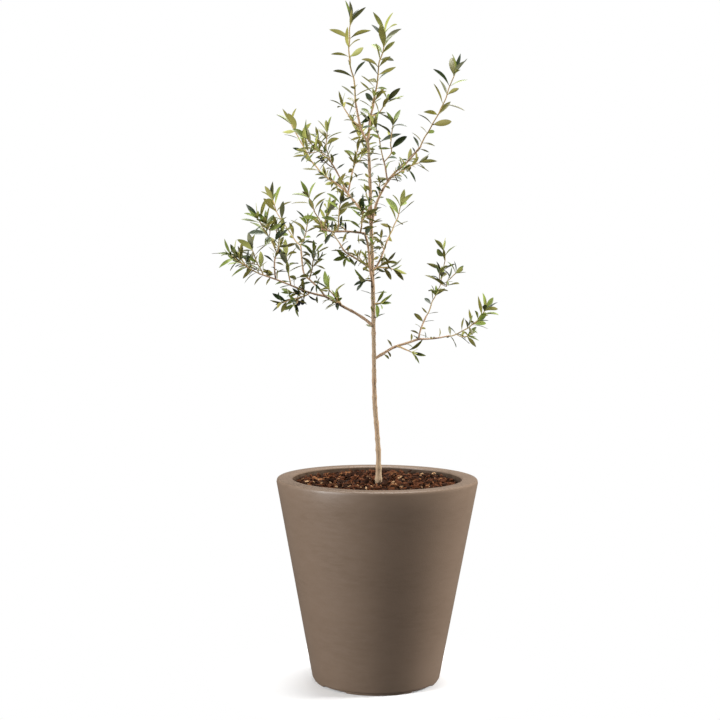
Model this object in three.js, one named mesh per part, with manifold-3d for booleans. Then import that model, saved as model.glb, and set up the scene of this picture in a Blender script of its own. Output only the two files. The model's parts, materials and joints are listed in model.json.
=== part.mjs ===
// A young olive tree in a tapered round planter. Millimetres, +Z up.
// The origin is the middle of the planter's underside, and the front faces -Y.
// Each limb is one tapering solid, and each mass of leaves is one uneven solid round its shoot.
import * as THREE from "three";
import { mergeVertices } from "three/addons/utils/BufferGeometryUtils.js";
import Module from "manifold-3d";

const wasm = await Module();
wasm.setup();

// ---- driving sizes ----
const GAP = 0.4; // clearance between pieces that touch

const POT = {
  height: 409,
  rimRadius: 203, // widest circle, just under the rolled edge
  footRadius: 129, // where the wall meets the foot
  openingRadius: 171,
  rimRound: 7,
  heelRound: 5,
  footHeight: 4,
  footInset: 3,
  floor: 12,
  wallAtFloor: 10,
  sides: 48,
};
const NOTCH = { count: 4, firstAngle: 228, width: 40, depth: 26, height: 3 };

const MULCH = { level: 394, edgeDrop: 3, unevenness: 3, flatRadius: 22, sides: 28 };

const TRUNK = { footRadius: 8.5, flareHeight: 22, baseRadius: 5.2, topRadius: 2.7 };

const LIMB_SIDES = 6;
const LIMB_STEP = 26; // length of one facet along a limb
const MASS_SIDES = 7;
const MASS_STEP = 30;
const SOCKET = 8; // how far a limb's end reaches into the mass that it carries

// ---- materials ----
const RESIN = { color: 0x7d6c5c, roughness: 0.55, metalness: 0.0 };
const BARK_MULCH = { color: 0x4a2c1e, roughness: 0.95, metalness: 0.0 };
const BARK = { color: 0x8f7b62, roughness: 0.85, metalness: 0.0 };
const YOUNG_BARK = { color: 0x9c8a66, roughness: 0.8, metalness: 0.0 };
const LEAVES = { color: 0x6d7a45, roughness: 0.6, metalness: 0.0 };

const tree = new THREE.Group();
const solids = new Map(); // name -> manifold solid of a placed piece
const swollen = new Map(); // name -> the same piece with its clearance added
const spines = new Map(); // limb name -> its centre curve

const point = ([x, y, z]) => new THREE.Vector3(x, y, z);

// ---- solids ----

// A closed geometry as a manifold solid.
function solidOf(geometry) {
  const bare = geometry.index ? geometry.toNonIndexed() : geometry.clone();
  bare.deleteAttribute("normal");
  bare.deleteAttribute("uv");
  const merged = mergeVertices(bare, 1e-3);
  return new wasm.Manifold(
    new wasm.Mesh({
      numProp: 3,
      vertProperties: merged.attributes.position.array,
      triVerts: new Uint32Array(merged.index.array),
    }),
  );
}

function geometryOf(solid) {
  const mesh = solid.getMesh();
  return new THREE.BufferGeometry()
    .setAttribute("position", new THREE.BufferAttribute(mesh.vertProperties, 3))
    .setIndex(new THREE.BufferAttribute(mesh.triVerts, 1));
}

const largestBody = (solid) =>
  solid.decompose().reduce((best, body) => (body.volume() > best.volume() ? body : best));

function place(name, solid, finish) {
  const geometry = geometryOf(solid);
  geometry.computeVertexNormals();
  const mesh = new THREE.Mesh(geometry, new THREE.MeshStandardMaterial(finish));
  mesh.name = name;
  tree.add(mesh);
  solids.set(name, solid);
}

// ---- planter ----

// The outline of the wall from the middle of the underside, out, up, over the rim and down inside.
function potOutline() {
  const { height, rimRadius, footRadius, openingRadius, rimRound, heelRound } = POT;
  const lean = (rimRadius - footRadius) / (height - rimRound - POT.footHeight);
  const outline = new THREE.Path();
  outline.moveTo(0, 0);
  outline.lineTo(footRadius - POT.footInset, 0);
  outline.lineTo(footRadius - POT.footInset, POT.footHeight);
  outline.quadraticCurveTo(
    footRadius, POT.footHeight,
    footRadius + lean * heelRound, POT.footHeight + heelRound,
  );
  outline.lineTo(rimRadius, height - rimRound);
  outline.quadraticCurveTo(rimRadius + 0.5, height, rimRadius - rimRound, height);
  outline.lineTo(openingRadius + rimRound, height);
  outline.quadraticCurveTo(openingRadius, height, openingRadius - 1, height - rimRound);
  outline.lineTo(footRadius - POT.wallAtFloor, POT.floor);
  outline.lineTo(0, POT.floor);
  return outline.getPoints(3);
}

// A geometry that spins about Y, stood up so that it spins about Z.
const stoodUp = (geometry) => geometry.rotateX(Math.PI / 2);

// The outside of the foot has shallow drainage notches, evenly spaced round its edge.
function notches() {
  const { count, firstAngle, width, depth, height } = NOTCH;
  return Array.from({ length: count }, (_, i) => {
    const turn = THREE.MathUtils.degToRad(firstAngle + (360 / count) * i);
    const block = new THREE.BoxGeometry(2 * depth, width, 2 * height);
    block.translate(POT.footRadius, 0, 0).rotateZ(turn);
    return solidOf(block);
  });
}

function buildPot() {
  const shell = stoodUp(new THREE.LatheGeometry(potOutline(), POT.sides));
  let pot = solidOf(shell);
  for (const notch of notches()) pot = pot.subtract(notch);
  place("pot", pot, RESIN);
}

// Soil under a layer of bark chips, filling the planter to just below its rim.
function buildMulch() {
  const { level, edgeDrop, unevenness, flatRadius } = MULCH;
  const innerFoot = POT.footRadius - POT.wallAtFloor;
  const slope = (POT.openingRadius - 1 - innerFoot) / (POT.height - POT.rimRound - POT.floor);
  const edge = innerFoot + slope * (level - edgeDrop - POT.floor) - GAP;
  const outline = [
    new THREE.Vector2(0, POT.floor + GAP),
    new THREE.Vector2(innerFoot - GAP, POT.floor + GAP),
    new THREE.Vector2(edge, level - edgeDrop),
    ...[0.82, 0.62, 0.42].map((share) => new THREE.Vector2(edge * share, level)),
    new THREE.Vector2(flatRadius, level),
    new THREE.Vector2(0, level),
  ];
  const heap = stoodUp(new THREE.LatheGeometry(outline, MULCH.sides));
  const spots = heap.attributes.position;
  for (let i = 0; i < spots.count; i++) {
    const [x, y, z] = [spots.getX(i), spots.getY(i), spots.getZ(i)];
    const away = Math.hypot(x, y);
    if (z < level - 0.1 || away <= flatRadius + 1) continue;
    spots.setZ(i, z + unevenness * Math.sin(x / 23 + 1) * Math.cos(y / 19 - x / 41));
  }
  place("mulch", solidOf(heap), BARK_MULCH);
}

// ---- limbs and masses ----

// A closed tube bent along a curve: radiusAt(share of length, angle) gives its size all along,
// and grow makes it larger by that much on every side.
function bentTube(curve, sides, steps, radiusAt, grow = 0) {
  const tube = new THREE.CylinderGeometry(1, 1, 1, sides, steps);
  const frames = curve.computeFrenetFrames(steps, false);
  const spots = tube.attributes.position;
  for (let i = 0; i < spots.count; i++) {
    const share = spots.getY(i) + 0.5;
    const step = Math.round(share * steps);
    const [across, beside] = [spots.getX(i), spots.getZ(i)];
    const onAxis = Math.hypot(across, beside) < 0.5;
    const angle = Math.atan2(beside, across);
    const radius = onAxis ? 0 : radiusAt(share, angle) + grow;
    const end = step === 0 ? -grow : step === steps ? grow : 0;
    const spot = curve
      .getPointAt(share)
      .addScaledVector(frames.tangents[step], end)
      .addScaledVector(frames.normals[step], radius * Math.cos(angle))
      .addScaledVector(frames.binormals[step], -radius * Math.sin(angle));
    spots.setXYZ(i, spot.x, spot.y, spot.z);
  }
  return upright(solidOf(tube), tube);
}

// The bend can turn a tube inside out, and then its faces are turned round again.
function upright(solid, tube) {
  if (solid.volume() > 0) return solid;
  const order = tube.index.array;
  for (let i = 0; i < order.length; i += 3) [order[i + 1], order[i + 2]] = [order[i + 2], order[i + 1]];
  return solidOf(tube);
}

const cutBy = (solid, names) => names.reduce((left, name) => left.subtract(swollen.get(name)), solid);

// A limb runs from a share of its parent's length through its bends, thinning evenly.
function limb(name, { parent, share, bends, radius, tip, finish = YOUNG_BARK }) {
  const start = spines.get(parent).getPointAt(share);
  const curve = new THREE.CatmullRomCurve3([start, ...bends.map(point)], false, "centripetal");
  const steps = Math.max(3, Math.round(curve.getLength() / LIMB_STEP));
  const taper = (along) => radius + (tip - radius) * along;
  const older = [...solids.keys()];
  spines.set(name, curve);
  swollen.set(name, bentTube(curve, LIMB_SIDES, steps, taper, GAP));
  place(name, largestBody(cutBy(bentTube(curve, LIMB_SIDES, steps, taper), older)), finish);
}

// The trunk flares where it leaves the ground, and its foot is cut flat.
function buildTrunk(bends) {
  const curve = new THREE.CatmullRomCurve3(bends.map(point), false, "centripetal");
  const steps = Math.round(curve.getLength() / LIMB_STEP);
  const length = curve.getLength();
  const { footRadius, flareHeight, baseRadius, topRadius } = TRUNK;
  const radiusAt = (along, angle) => {
    const flare = Math.exp((-along * length) / flareHeight);
    const buttress = 1 + 0.12 * flare * Math.sin(3 * angle);
    const stem = baseRadius + (topRadius - baseRadius) * along;
    return (stem + (footRadius - baseRadius) * flare) * buttress;
  };
  const ground = new THREE.BoxGeometry(200, 200, 40).translate(0, 0, MULCH.level + GAP - 20);
  const stem = bentTube(curve, 2 * LIMB_SIDES, steps, radiusAt).subtract(solidOf(ground));
  spines.set("trunk", curve);
  swollen.set("trunk", bentTube(curve, 2 * LIMB_SIDES, steps, radiusAt, GAP));
  place("trunk", stem, BARK);
}

// How full a mass is along its shoot: slim where it starts, fullest past the middle, slim at its tip.
const fullness = (share) => 0.34 + 0.66 * Math.sin(Math.PI * Math.min(1, share * 0.86 + 0.1)) ** 0.8;

// A mass of leaves round one shoot. It starts on a limb and has lumps of its own, set by its seed.
function mass(name, { parent, share = 1, bends, reach, seed }) {
  const spine = spines.get(parent);
  const start = spine.getPointAt(Math.max(0, share - (share === 1 ? SOCKET / spine.getLength() : 0)));
  const curve = new THREE.CatmullRomCurve3([start, ...bends.map(point)], false, "centripetal");
  const steps = Math.max(3, Math.round(curve.getLength() / MASS_STEP));
  const lumps = (along, angle) =>
    0.16 * Math.sin(2 * angle + 1.7 * seed + 5 * along) +
    0.12 * Math.sin(3 * angle - 2.3 * seed + 11 * along) +
    0.08 * Math.sin(17 * along + seed);
  const radiusAt = (along, angle) => reach * fullness(along) * (1 + lumps(along, angle));
  const older = [...swollen.keys()];
  spines.set(name, curve);
  swollen.set(name, bentTube(curve, MASS_SIDES, steps, radiusAt, 1.5 * GAP));
  place(name, largestBody(cutBy(bentTube(curve, MASS_SIDES, steps, radiusAt), older)), LEAVES);
}

// ---- the tree ----

buildPot();
buildMulch();
swollen.set("pot", solids.get("pot"));
swollen.set("mulch", solids.get("mulch"));

buildTrunk([
  [3, 0, 380], [2, 0, 464], [-6, 3, 565], [-8, 4, 662], [-11, 6, 793],
  [-15, 8, 907], [-20, 9, 1047], [-23, 10, 1086],
]);

const LIMBS = {
  leader_left: {
    parent: "trunk", share: 0.985, radius: 2.5, tip: 1.9,
    bends: [[-37, 6, 1110], [-43, 2, 1135], [-49, -3, 1165]],
  },
  leader_right: {
    parent: "trunk", share: 0.985, radius: 2.5, tip: 1.9,
    bends: [[-19, 15, 1127], [-12, 19, 1158], [-8, 22, 1185]],
  },
  bough_upper_left: {
    parent: "trunk", share: 0.775, radius: 2.7, tip: 1.8,
    bends: [[-36, 16, 948], [-58, 29, 976], [-77, 38, 995], [-104, 50, 1014]],
  },
  branch_upper_left_inner: {
    parent: "bough_upper_left", share: 0.6, radius: 1.9, tip: 1.4,
    bends: [[-78, 17, 1011], [-92, 0, 1035], [-100, -8, 1047]],
  },
  branch_upper_left_rear: {
    parent: "bough_upper_left", share: 0.56, radius: 1.7, tip: 1.4,
    bends: [[-58, 42, 1006], [-53, 52, 1030]],
  },
  bough_upper_right: {
    parent: "trunk", share: 0.757, radius: 2.8, tip: 1.7,
    bends: [[-6, -11, 956], [11, -28, 992], [29, -41, 1016], [50, -53, 1033], [80, -74, 1066]],
  },
  branch_upper_right_inner: {
    parent: "bough_upper_right", share: 0.49, radius: 1.7, tip: 1.4,
    bends: [[12, -52, 1024], [6, -66, 1044]],
  },
  branch_upper_right_rear: {
    parent: "bough_upper_right", share: 0.54, radius: 1.6, tip: 1.3,
    bends: [[40, -28, 1019], [52, -16, 1027]],
  },
  stem_left: {
    parent: "trunk", share: 0.575, radius: 2.7, tip: 2.2,
    bends: [[-17, -10, 830], [-21, -30, 872], [-28, -41, 898]],
  },
  bough_left_level: {
    parent: "stem_left", share: 0.99, radius: 2.1, tip: 1.6,
    bends: [[-57, -56, 901], [-96, -75, 900], [-112, -84, 904]],
  },
  bough_middle_left: {
    parent: "trunk", share: 0.628, radius: 2.3, tip: 1.5,
    bends: [[-37, 19, 846], [-66, 39, 863], [-80, 54, 884]],
  },
  bough_middle_right: {
    parent: "trunk", share: 0.622, radius: 2.3, tip: 1.6,
    bends: [[7, 25, 856], [15, 42, 880], [20, 50, 893]],
  },
  bough_low_left: {
    parent: "trunk", share: 0.468, radius: 3.0, tip: 2.3,
    bends: [[-31, 1, 732], [-57, -2, 746], [-85, -7, 762], [-107, -10, 774]],
  },
  branch_low_left_rise: {
    parent: "bough_low_left", share: 0.985, radius: 1.9, tip: 1.5,
    bends: [[-121, 3, 792], [-150, 25, 819], [-155, 42, 846], [-159, 60, 880]],
  },
  branch_low_left_reach: {
    parent: "bough_low_left", share: 0.985, radius: 2.0, tip: 1.4,
    bends: [[-140, -29, 782], [-173, -48, 795], [-203, -67, 807], [-233, -86, 817]],
  },
  branch_low_left_turn: {
    parent: "branch_low_left_reach", share: 0.74, radius: 1.6, tip: 1.3,
    bends: [[-205, -62, 838], [-198, -53, 864]],
  },
  bough_low_right: {
    parent: "trunk", share: 0.376, radius: 2.9, tip: 2.2,
    bends: [[11, 16, 659], [35, 32, 672], [56, 44, 678], [84, 60, 687]],
  },
  branch_low_right_rise: {
    parent: "bough_low_right", share: 0.98, radius: 1.8, tip: 1.5,
    bends: [[91, 69, 713], [101, 79, 735]],
  },
  branch_low_right_reach: {
    parent: "bough_low_right", share: 0.98, radius: 1.9, tip: 1.4,
    bends: [[117, 48, 689], [146, 38, 695]],
  },
};

const MASSES = {
  leaves_top_left: {
    parent: "leader_left", reach: 27,
    bends: [[-53, -7, 1197], [-57, -14, 1241], [-60, -19, 1273], [-56, -28, 1352]],
  },
  leaves_top_left_side: {
    parent: "leader_left", share: 0.4, reach: 22,
    bends: [[-60, 18, 1133], [-74, 28, 1160], [-80, 34, 1190]],
  },
  leaves_top_right: {
    parent: "leader_right", reach: 30,
    bends: [[-5, 25, 1212], [2, 29, 1248], [8, 33, 1285], [10, 40, 1344]],
  },
  leaves_top_right_side: {
    parent: "leader_right", share: 0.5, reach: 20,
    bends: [[2, 34, 1148], [18, 46, 1172], [30, 54, 1196]],
  },
  leaves_upper_left: {
    parent: "bough_upper_left", reach: 25,
    bends: [[-120, 58, 1029], [-141, 70, 1056], [-160, 82, 1086], [-173, 93, 1116], [-198, 112, 1160]],
  },
  leaves_upper_left_low: {
    parent: "bough_upper_left", share: 0.86, reach: 15,
    bends: [[-98, 66, 1008], [-112, 84, 1006]],
  },
  leaves_upper_left_inner: {
    parent: "branch_upper_left_inner", reach: 23,
    bends: [[-118, -26, 1060], [-138, -48, 1076], [-150, -72, 1108]],
  },
  leaves_upper_left_middle: {
    parent: "branch_upper_left_inner", share: 0.9, reach: 21,
    bends: [[-106, 2, 1072], [-104, 6, 1098], [-102, 8, 1132]],
  },
  leaves_upper_left_rear: {
    parent: "branch_upper_left_rear", reach: 22,
    bends: [[-48, 64, 1054], [-41, 85, 1095], [-38, 104, 1134]],
  },
  leaves_upper_right: {
    parent: "bough_upper_right", reach: 25,
    bends: [[96, -88, 1097], [110, -103, 1125], [126, -121, 1159], [138, -135, 1187], [146, -152, 1226]],
  },
  leaves_upper_right_inner: {
    parent: "branch_upper_right_inner", reach: 22,
    bends: [[0, -82, 1068], [-8, -102, 1104], [-12, -112, 1130]],
  },
  leaves_upper_right_fan: {
    parent: "branch_upper_right_inner", share: 0.8, reach: 20,
    bends: [[18, -84, 1070], [24, -104, 1096], [28, -120, 1128]],
  },
  leaves_upper_right_rear: {
    parent: "branch_upper_right_rear", reach: 20,
    bends: [[69, 0, 1036], [86, 16, 1044], [102, 32, 1052]],
  },
  leaves_left_level_tip: {
    parent: "bough_left_level", reach: 22,
    bends: [[-124, -97, 936], [-136, -112, 961], [-140, -126, 992]],
  },
  leaves_left_level_outer: {
    parent: "bough_left_level", share: 0.9, reach: 17,
    bends: [[-104, -62, 926], [-100, -52, 944], [-98, -44, 966]],
  },
  leaves_left_level_middle: {
    parent: "bough_left_level", share: 0.62, reach: 22,
    bends: [[-79, -95, 928], [-76, -122, 952], [-70, -142, 976]],
  },
  leaves_left_level_inner: {
    parent: "bough_left_level", share: 0.08, reach: 20,
    bends: [[-33, -66, 926], [-34, -84, 946], [-36, -96, 968]],
  },
  leaves_middle_left: {
    parent: "bough_middle_left", reach: 22,
    bends: [[-97, 72, 907], [-110, 84, 923], [-122, 94, 938]],
  },
  leaves_middle_left_low: {
    parent: "bough_middle_left", share: 0.62, reach: 16,
    bends: [[-68, 12, 852], [-82, -6, 862]],
  },
  leaves_middle_right: {
    parent: "bough_middle_right", reach: 26,
    bends: [[30, 62, 912], [38, 77, 935], [45, 92, 957], [46, 112, 992]],
  },
  leaves_middle_right_low: {
    parent: "bough_middle_right", share: 0.16, reach: 18,
    bends: [[16, 34, 832], [36, 50, 828], [56, 62, 824]],
  },
  leaves_trunk_left: {
    parent: "trunk", share: 0.6, reach: 15,
    bends: [[-30, -6, 806], [-50, -16, 798]],
  },
  leaves_trunk_right: {
    parent: "trunk", share: 0.535, reach: 14,
    bends: [[8, -8, 762], [26, -18, 754]],
  },
  leaves_low_left_front: {
    parent: "branch_low_left_rise", share: 0.36, reach: 20,
    bends: [[-134, 4, 828], [-130, -12, 856], [-126, -32, 888]],
  },
  leaves_low_left_top: {
    parent: "branch_low_left_rise", share: 0.97, reach: 19,
    bends: [[-148, 50, 900], [-144, 40, 922], [-145, 30, 950]],
  },
  leaves_low_left_rear: {
    parent: "branch_low_left_rise", reach: 24,
    bends: [[-178, 72, 900], [-197, 87, 926], [-215, 104, 962], [-227, 122, 1002]],
  },
  leaves_low_left_lift: {
    parent: "bough_low_left", share: 0.64, reach: 19,
    bends: [[-96, -30, 782], [-104, -42, 796], [-114, -54, 812]],
  },
  leaves_low_left_tip: {
    parent: "branch_low_left_reach", reach: 26,
    bends: [[-256, -100, 828], [-275, -118, 842], [-286, -134, 858], [-294, -146, 878]],
  },
  leaves_low_left_end: {
    parent: "branch_low_left_reach", share: 0.93, reach: 20,
    bends: [[-238, -66, 838], [-248, -56, 862], [-258, -50, 892]],
  },
  leaves_low_left_middle: {
    parent: "branch_low_left_reach", share: 0.52, reach: 19,
    bends: [[-180, -23, 833], [-184, -5, 858], [-188, 6, 884]],
  },
  leaves_low_left_turn: {
    parent: "branch_low_left_turn", share: 0.97, reach: 19,
    bends: [[-196, -40, 888], [-192, -32, 906], [-188, -28, 928]],
  },
  leaves_low_left_outer: {
    parent: "branch_low_left_turn", reach: 22,
    bends: [[-213, -68, 890], [-231, -86, 912], [-242, -110, 952]],
  },
  leaves_low_left_fruiting: {
    parent: "branch_low_left_reach", share: 0.2, reach: 15,
    bends: [[-163, -56, 769], [-186, -79, 763], [-210, -100, 760]],
  },
  leaves_low_right_drooping: {
    parent: "bough_low_right", share: 0.5, reach: 14,
    bends: [[58, 20, 668], [72, 6, 658], [86, -4, 648]],
  },
  leaves_low_right_rise: {
    parent: "branch_low_right_rise", reach: 23,
    bends: [[113, 88, 762], [124, 96, 784], [130, 100, 800]],
  },
  leaves_low_right_top: {
    parent: "leaves_low_right_rise", reach: 24,
    bends: [[137, 108, 826], [138, 118, 856], [138, 132, 900]],
  },
  leaves_low_right_side: {
    parent: "leaves_low_right_rise", share: 0.97, reach: 20,
    bends: [[150, 84, 814], [162, 68, 824], [178, 54, 834]],
  },
  leaves_low_right_reach: {
    parent: "branch_low_right_reach", reach: 25,
    bends: [[165, 30, 702], [188, 22, 714], [212, 9, 740], [224, 0, 778]],
  },
};

for (const [name, sizes] of Object.entries(LIMBS)) limb(name, sizes);
Object.entries(MASSES).forEach(([name, sizes], i) => mass(name, { seed: i + 1, ...sizes }));

export default tree;
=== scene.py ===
"""A young olive tree in a tapered round planter: its finished look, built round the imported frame.

The trunk, boughs and planter follow their CAD solids. Twigs and leaves grow from the boughs by a
seeded rule, one leafy shoot in each CAD mass, as far out as that mass reaches.
"""

import json
import math
import random

import bmesh
import bpy
import numpy as np
from mathutils import Matrix, Vector, noise

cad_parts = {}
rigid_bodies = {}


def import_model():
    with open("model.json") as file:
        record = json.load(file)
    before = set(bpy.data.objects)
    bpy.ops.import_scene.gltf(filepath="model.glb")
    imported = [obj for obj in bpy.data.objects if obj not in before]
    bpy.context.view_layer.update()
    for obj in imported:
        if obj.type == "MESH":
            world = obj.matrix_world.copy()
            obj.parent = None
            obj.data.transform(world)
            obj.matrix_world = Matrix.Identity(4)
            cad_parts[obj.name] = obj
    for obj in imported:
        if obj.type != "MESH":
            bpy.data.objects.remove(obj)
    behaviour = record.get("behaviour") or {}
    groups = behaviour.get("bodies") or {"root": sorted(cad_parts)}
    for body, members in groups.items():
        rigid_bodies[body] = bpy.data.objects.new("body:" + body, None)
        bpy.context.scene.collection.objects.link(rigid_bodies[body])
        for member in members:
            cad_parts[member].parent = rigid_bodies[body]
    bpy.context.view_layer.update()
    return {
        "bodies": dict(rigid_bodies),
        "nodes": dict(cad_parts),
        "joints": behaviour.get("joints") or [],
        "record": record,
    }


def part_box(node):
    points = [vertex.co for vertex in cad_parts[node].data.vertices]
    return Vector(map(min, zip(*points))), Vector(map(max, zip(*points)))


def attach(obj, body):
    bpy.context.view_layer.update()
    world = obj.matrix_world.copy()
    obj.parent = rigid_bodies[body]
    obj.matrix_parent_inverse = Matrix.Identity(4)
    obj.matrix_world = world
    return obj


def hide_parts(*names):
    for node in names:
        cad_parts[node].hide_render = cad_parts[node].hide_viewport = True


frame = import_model()

UP = Vector((0.0, 0.0, 1.0))
MASS_NODES = [node for node in sorted(frame["nodes"]) if node.startswith("leaves")]
LIMB_NODES = [
    node for node in sorted(frame["nodes"]) if not node.startswith(("leaves", "pot", "mulch"))
]

# ---- sizes, in metres ----
RING_MERGE = 0.007  # corners of a limb's solid nearer than this belong to one ring
LIMB_STEP = 0.0035
LIMB_SIDES = 14
TWIG_STEP = 0.005
TWIG_SIDES = 6
SLICE = 0.012  # distance between the slices that measure a mass

LEAF_STALK = 0.07  # the stalk's share of a leaf's length
LEAF_THICKNESS = 0.0005
LIMB_LEAF = 0.024  # length of the leaves along trunk and boughs
LIMB_LEAF_GAP = 0.0135  # between their pairs
SPRIG_GAP = 0.070  # between the short twigs along the boughs
SHOOT_LEAF = 0.018  # what a shoot's leaves are longer than its mass is thick
SHOOT_LEAF_GAP = 0.0100  # the least gap between their pairs
SHOOT_FOOT_RADIUS = 0.0021
SHOOT_TIP_RADIUS = 0.0011
SIDE_SHOOT_RADIUS = 0.0014
SPRIG_LEAF = 0.026
CROWN_FOOT = 0.700  # the trunk is bare up to this height
CROWN_BODY = 0.785  # and has few leaves up to this one

OLIVE_LENGTH = 0.0115
OLIVE_WIDTH = 0.0088

KNOT_GAP = 0.034  # between the swellings where a limb bore leaves
KNOT_HALF_LENGTH = 0.0032
KNOT_SWELL = 0.16  # as a share of the limb's radius
BARK_DEPTH = 0.16  # of its ridges, as a share of the limb's radius

RIM_EDGE = 0.0045  # radius of the rim's outer edge
RIM_LIP = 0.0035  # radius of its inner edge
MULCH_GAP = 0.0025  # between the mulch and the wall
HEEL_RADIUS = 0.0035  # where the wall turns in to the foot
FOOT_WIDTH = 0.026
INNER_SETBACK = 0.007  # of the wall's inner side from the foot's edge, at the floor
PLANTER_FLOOR = 0.012
NOTCH_HEIGHT = 0.003
NOTCH_REACH = math.radians(3.0)  # to each side of a corner of a notch

CHIP_COUNT = 2100
CHIP_KINDS = 14
CHIP_LENGTHS = (0.008, 0.025)
CHIP_TURN = 2.39996  # radians from each chip to the next, which spreads them evenly
HEAP_HEIGHT = 0.0035
TRUNK_CLEARANCE = 0.010


# ---- meshes ----


def mesh_of(name, bm):
    mesh = bpy.data.meshes.new(name)
    bm.to_mesh(mesh)
    bm.free()
    return mesh


def new_piece(name, bm, finishes, replaced=()):
    """Makes a mesh piece from bm, gives it its finishes, and joins it to the frame."""
    mesh = mesh_of(name, bm)
    piece = bpy.data.objects.new(name, mesh)
    bpy.context.scene.collection.objects.link(piece)
    for finish in finishes:
        mesh.materials.append(finish)
    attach(piece, "root")
    if replaced:
        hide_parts(*replaced)
    return piece


def smooth_faces(bm):
    for face in bm.faces:
        face.smooth = True


def welded(node):
    """A copy of a CAD node's mesh with its shared corners merged."""
    bm = bmesh.new()
    bm.from_mesh(frame["nodes"][node].data)
    bmesh.ops.remove_doubles(bm, verts=bm.verts, dist=1e-5)
    return bm


# ---- centre lines ----


def limb_rings(node):
    """The centre and radius of each ring of a limb's solid, from its root to its tip."""
    bm = welded(node)
    loose = [v.co.copy() for v in bm.verts]
    bm.free()
    rings = []
    while loose:
        ring = [loose.pop()]
        for spot in ring:
            near = [p for p in loose if (p - spot).length < RING_MERGE]
            ring += near
            loose = [p for p in loose if (p - spot).length >= RING_MERGE]
        centre = sum(ring, Vector()) / len(ring)
        rings.append((centre, max((p - centre).length for p in ring)))
    chain = [min(rings, key=lambda r: r[1])]
    rings.remove(chain[0])
    while rings:
        chain.append(min(rings, key=lambda r: (r[0] - chain[-1][0]).length))
        rings.remove(chain[-1])
    return chain[::-1]


def mass_slices(node):
    """The centre and mean radius of slices across a mass, from one end to the other."""
    bm = welded(node)
    spots = np.array([v.co for v in bm.verts])
    ends = np.array([[e.verts[0].index, e.verts[1].index] for e in bm.edges])
    bm.free()
    middle = spots.mean(0)
    along = np.linalg.svd(spots - middle)[2][0]
    depth = (spots - middle) @ along
    low, high = depth.min(), depth.max()
    count = max(4, round((high - low) / SLICE))
    slices = []
    for i in range(count):
        cut = low + (high - low) * (i + 0.5) / count
        a, b = depth[ends[:, 0]] - cut, depth[ends[:, 1]] - cut
        crossed = a * b < 0
        share = (a / (a - b + 1e-12))[crossed][:, None]
        start, end = spots[ends[crossed, 0]], spots[ends[crossed, 1]]
        rim = start + (end - start) * share
        centre = (rim.min(0) + rim.max(0)) / 2
        radius = float(np.linalg.norm(rim - centre, axis=1).mean())
        slices.append((Vector(centre), radius))
    return slices


def walked(points, step):
    """(spot, value) points as an even walk along a smooth curve, with about that step."""
    spots = [Vector(p[0]) for p in points]
    values = [p[1] for p in points]
    spots = [2 * spots[0] - spots[1]] + spots + [2 * spots[-1] - spots[-2]]
    fine = []
    for i in range(1, len(spots) - 2):
        p0, p1, p2, p3 = spots[i - 1:i + 3]
        pieces = max(2, math.ceil((p2 - p1).length / step))
        for k in range(pieces):
            t = k / pieces
            curve = 2 * p1 + (p2 - p0) * t + (2 * p0 - 5 * p1 + 4 * p2 - p3) * t * t
            curve += (3 * p1 - p0 - 3 * p2 + p3) * t ** 3
            value = values[i - 1] + (values[i] - values[i - 1]) * t
            fine.append((curve / 2, value))
    fine.append((spots[-2], values[-1]))
    return fine


def line_length(line):
    return sum((b[0] - a[0]).length for a, b in zip(line, line[1:]))


def wobble(spot, fineness, size):
    """A small smooth offset that depends on the place alone."""
    x, y, z = spot * fineness
    places = (Vector((x, y, z)), Vector((y + 7.3, z, x - 3.1)), Vector((z - 5.7, x, y + 9.2)))
    return Vector([noise.noise(place) for place in places]) * size


def nearest_on(lines, spot, least_radius=0.0):
    """The point of the centre lines nearest to spot, with its radius, of those thick enough."""
    every = [p for line in lines for p in line]
    choices = [p for p in every if p[1] >= least_radius] or every
    return min(choices, key=lambda p: (p[0] - spot).length)


# ---- tubes ----


def path_frames(spots):
    """A frame at each spot of a path, its Z along the path, turned as little as it can be."""
    frames = []
    side = UP.cross(spots[1] - spots[0])
    if side.length < 1e-6:
        side = Vector((1.0, 0.0, 0.0))
    for i, spot in enumerate(spots):
        ahead = (spots[min(i + 1, len(spots) - 1)] - spots[max(i - 1, 0)]).normalized()
        side = (side - ahead * side.dot(ahead)).normalized()
        other = ahead.cross(side)
        turned = Matrix((side, other, ahead)).transposed().to_4x4()
        frames.append(Matrix.Translation(spot) @ turned)
    return frames


def heading(frame):
    return frame.col[2].xyz


def sideways(frame, turn):
    """The way out from a path that is turned round it by that angle."""
    return (frame @ Vector((math.cos(turn), math.sin(turn), 0.0, 0.0))).xyz


def add_tube(bm, path, sides, relief=None):
    """Sweeps a circle along path, a list of (spot, radius), ring by ring. relief moves its skin out."""
    frames = path_frames([spot for spot, _ in path])
    first = bmesh.ops.create_circle(
        bm, cap_ends=True, segments=sides, radius=1.0, matrix=frames[0] @ Matrix.Scale(path[0][1], 4)
    )
    edges = list({e for v in first["verts"] for e in v.link_edges})
    bmesh.ops.reverse_faces(bm, faces=list({f for v in first["verts"] for f in v.link_faces}))
    rings = [first["verts"]]
    for i in range(1, len(path)):
        before = frames[i - 1] @ Matrix.Scale(path[i - 1][1], 4)
        after = frames[i] @ Matrix.Scale(path[i][1], 4)
        grown = bmesh.ops.extrude_edge_only(bm, edges=edges)["geom"]
        edges = [g for g in grown if isinstance(g, bmesh.types.BMEdge) and g.is_boundary]
        ring = [g for g in grown if isinstance(g, bmesh.types.BMVert)]
        bmesh.ops.transform(bm, matrix=after @ before.inverted(), verts=ring)
        rings.append(ring)
    bmesh.ops.contextual_create(bm, geom=edges)
    if relief:
        for (spot, radius), ring in zip(path, rings):
            for v in ring:
                out = (v.co - spot).normalized()
                v.co += out * relief(v.co, radius)


# ---- shader node groups ----


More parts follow.
